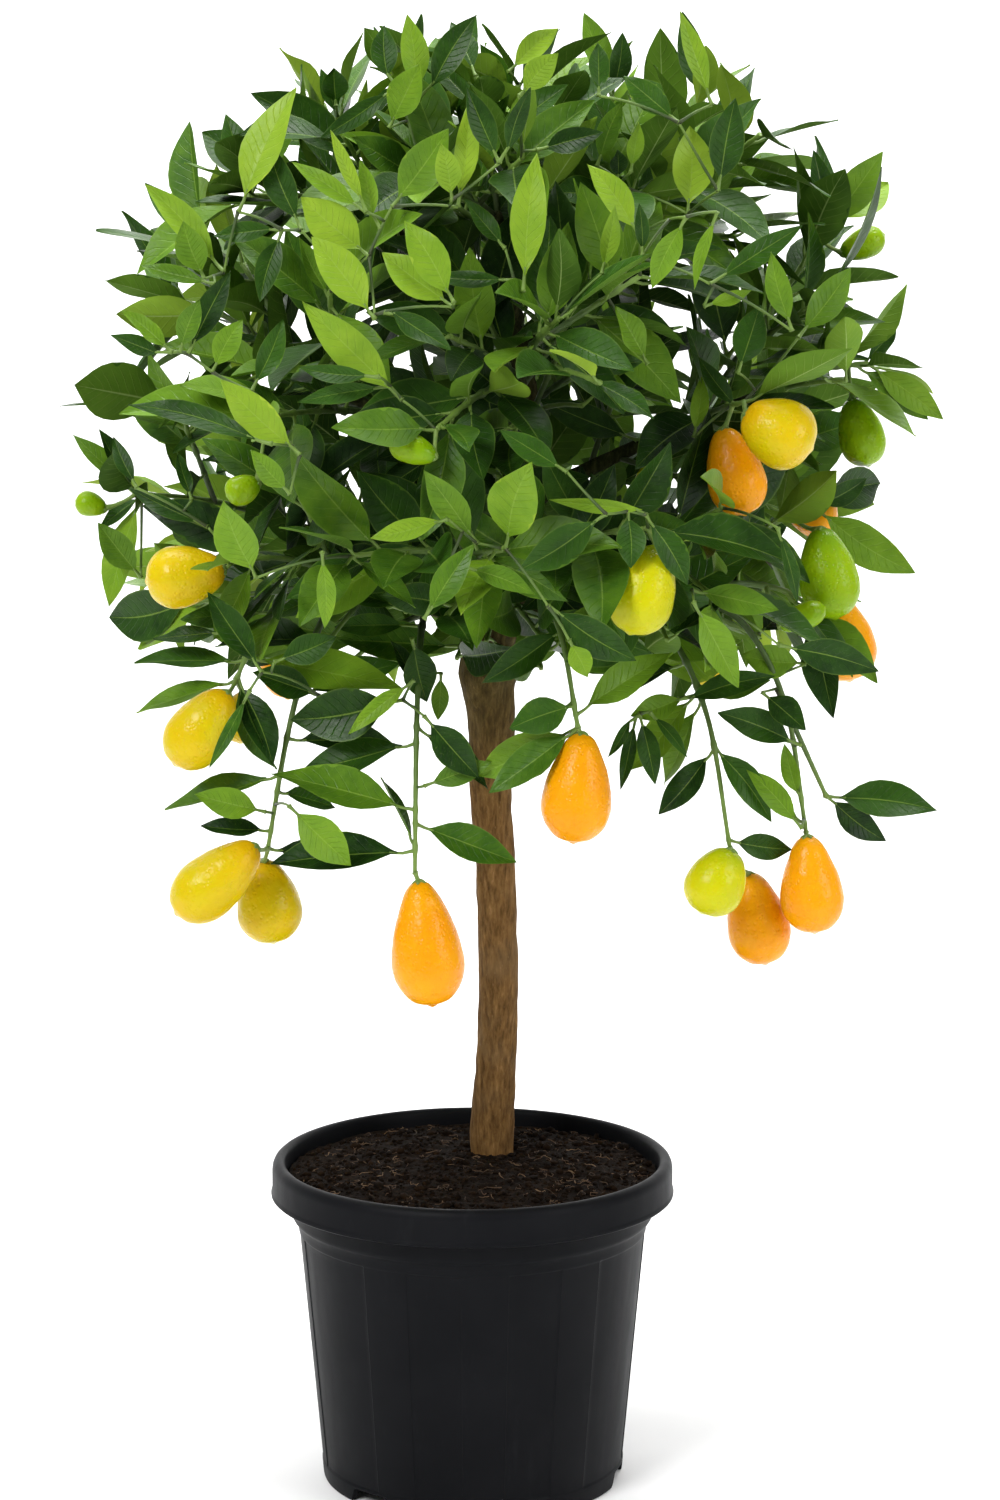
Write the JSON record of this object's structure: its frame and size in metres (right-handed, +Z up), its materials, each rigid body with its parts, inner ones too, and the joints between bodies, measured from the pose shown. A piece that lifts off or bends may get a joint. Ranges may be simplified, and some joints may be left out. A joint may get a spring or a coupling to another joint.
{
  "type": "potted limequat tree",
  "caption": "Small citrus tree with a bare trunk and a round leafy crown of hanging orange, yellow and green fruits, growing in a black nursery pot.",
  "frame": {"origin": "on the pot's axis, at the plane that it stands on, in the middle of the flat pad under its floor", "axes": "+Z up along the pot's axis, -Y towards the side that the picture shows, +X to its right"},
  "size_m": [0.4655, 0.4734, 0.7995],
  "materials": {
    "fruit_green_right": "green peel, dimpled satin",
    "fruit_green_right_low": "green peel, dimpled satin",
    "fruit_green_small_far_left": "green peel, dimpled satin",
    "fruit_green_small_left": "green peel, dimpled satin",
    "fruit_green_small_low": "green peel, dimpled satin",
    "fruit_green_small_middle": "green peel, dimpled satin",
    "fruit_green_small_right": "green peel, dimpled satin",
    "fruit_lime_hidden": "yellow-green peel, dimpled satin",
    "fruit_lime_middle": "yellow-green peel, dimpled satin",
    "fruit_lime_right_hang": "yellow-green peel, dimpled satin",
    "fruit_orange_back_left": "ripe orange peel, dimpled satin",
    "fruit_orange_far_hang": "ripe orange peel, dimpled satin",
    "fruit_orange_left_middle": "ripe orange peel, dimpled satin",
    "fruit_orange_middle": "ripe orange peel, dimpled satin",
    "fruit_orange_right": "ripe orange peel, dimpled satin",
    "fruit_orange_right_hang": "ripe orange peel, dimpled satin",
    "fruit_orange_right_hidden": "ripe orange peel, dimpled satin",
    "fruit_orange_right_low": "ripe orange peel, dimpled satin",
    "fruit_yellow_back_right": "yellow peel, dimpled satin",
    "fruit_yellow_left": "yellow peel, dimpled satin",
    "fruit_yellow_left_hang": "yellow peel, dimpled satin",
    "fruit_yellow_left_hang_back": "yellow peel, dimpled satin",
    "fruit_yellow_left_low": "yellow peel, dimpled satin",
    "fruit_yellow_left_low_back": "yellow peel, dimpled satin",
    "fruit_yellow_right": "yellow peel, dimpled satin",
    "pot": "black moulded, satin",
    "soil": "dark loose potting mix",
    "spray_back_high": "glossy green leaves on green twigs",
    "spray_back_high_left": "glossy green leaves on green twigs",
    "spray_back_left": "glossy green leaves on green twigs",
    "spray_back_low": "glossy green leaves on green twigs",
    "spray_back_middle": "glossy green leaves on green twigs",
    "spray_back_right": "glossy green leaves on green twigs",
    "spray_far_left": "glossy green leaves on green twigs",
    "spray_front_high": "glossy green leaves on green twigs",
    "spray_front_high_right": "glossy green leaves on green twigs",
    "spray_front_left": "glossy green leaves on green twigs",
    "spray_front_low": "glossy green leaves on green twigs",
    "spray_front_low_right": "glossy green leaves on green twigs",
    "spray_front_middle": "glossy green leaves on green twigs",
    "spray_front_middle_left": "glossy green leaves on green twigs",
    "spray_front_right": "glossy green leaves on green twigs",
    "spray_hang_far_right": "glossy green leaves on green twigs",
    "spray_hang_left": "glossy green leaves on green twigs",
    "spray_hang_left_middle": "glossy green leaves on green twigs",
    "spray_hang_middle": "glossy green leaves on green twigs",
    "spray_hang_right": "glossy green leaves on green twigs",
    "spray_left_front": "glossy green leaves on green twigs",
    "spray_left_high": "glossy green leaves on green twigs",
    "spray_left_low": "glossy green leaves on green twigs",
    "spray_left_mid": "glossy green leaves on green twigs",
    "spray_right": "glossy green leaves on green twigs",
    "spray_right_front": "glossy green leaves on green twigs",
    "spray_right_low": "glossy green leaves on green twigs",
    "spray_right_mid": "glossy green leaves on green twigs",
    "spray_right_up": "glossy green leaves on green twigs",
    "spray_top_left": "glossy green leaves on green twigs",
    "spray_top_mid": "glossy green leaves on green twigs",
    "spray_top_right": "glossy green leaves on green twigs",
    "trunk": "rough grey-brown bark"
  },
  "bodies": {
    "root": {"fruit_green_right": "fruit_green_right", "fruit_green_right_low": "fruit_green_right_low", "fruit_green_small_far_left": "fruit_green_small_far_left", "fruit_green_small_left": "fruit_green_small_left", "fruit_green_small_low": "fruit_green_small_low", "fruit_green_small_middle": "fruit_green_small_middle", "fruit_green_small_right": "fruit_green_small_right", "fruit_lime_hidden": "fruit_lime_hidden", "fruit_lime_middle": "fruit_lime_middle", "fruit_lime_right_hang": "fruit_lime_right_hang", "fruit_orange_back_left": "fruit_orange_back_left", "fruit_orange_far_hang": "fruit_orange_far_hang", "fruit_orange_left_middle": "fruit_orange_left_middle", "fruit_orange_middle": "fruit_orange_middle", "fruit_orange_right": "fruit_orange_right", "fruit_orange_right_hang": "fruit_orange_right_hang", "fruit_orange_right_hidden": "fruit_orange_right_hidden", "fruit_orange_right_low": "fruit_orange_right_low", "fruit_yellow_back_right": "fruit_yellow_back_right", "fruit_yellow_left": "fruit_yellow_left", "fruit_yellow_left_hang": "fruit_yellow_left_hang", "fruit_yellow_left_hang_back": "fruit_yellow_left_hang_back", "fruit_yellow_left_low": "fruit_yellow_left_low", "fruit_yellow_left_low_back": "fruit_yellow_left_low_back", "fruit_yellow_right": "fruit_yellow_right", "pot": "pot", "soil": "soil", "spray_back_high": "spray_back_high", "spray_back_high_left": "spray_back_high_left", "spray_back_left": "spray_back_left", "spray_back_low": "spray_back_low", "spray_back_middle": "spray_back_middle", "spray_back_right": "spray_back_right", "spray_far_left": "spray_far_left", "spray_front_high": "spray_front_high", "spray_front_high_right": "spray_front_high_right", "spray_front_left": "spray_front_left", "spray_front_low": "spray_front_low", "spray_front_low_right": "spray_front_low_right", "spray_front_middle": "spray_front_middle", "spray_front_middle_left": "spray_front_middle_left", "spray_front_right": "spray_front_right", "spray_hang_far_right": "spray_hang_far_right", "spray_hang_left": "spray_hang_left", "spray_hang_left_middle": "spray_hang_left_middle", "spray_hang_middle": "spray_hang_middle", "spray_hang_right": "spray_hang_right", "spray_left_front": "spray_left_front", "spray_left_high": "spray_left_high", "spray_left_low": "spray_left_low", "spray_left_mid": "spray_left_mid", "spray_right": "spray_right", "spray_right_front": "spray_right_front", "spray_right_low": "spray_right_low", "spray_right_mid": "spray_right_mid", "spray_right_up": "spray_right_up", "spray_top_left": "spray_top_left", "spray_top_mid": "spray_top_mid", "spray_top_right": "spray_top_right", "trunk": "trunk"}
  },
  "joints": []
}
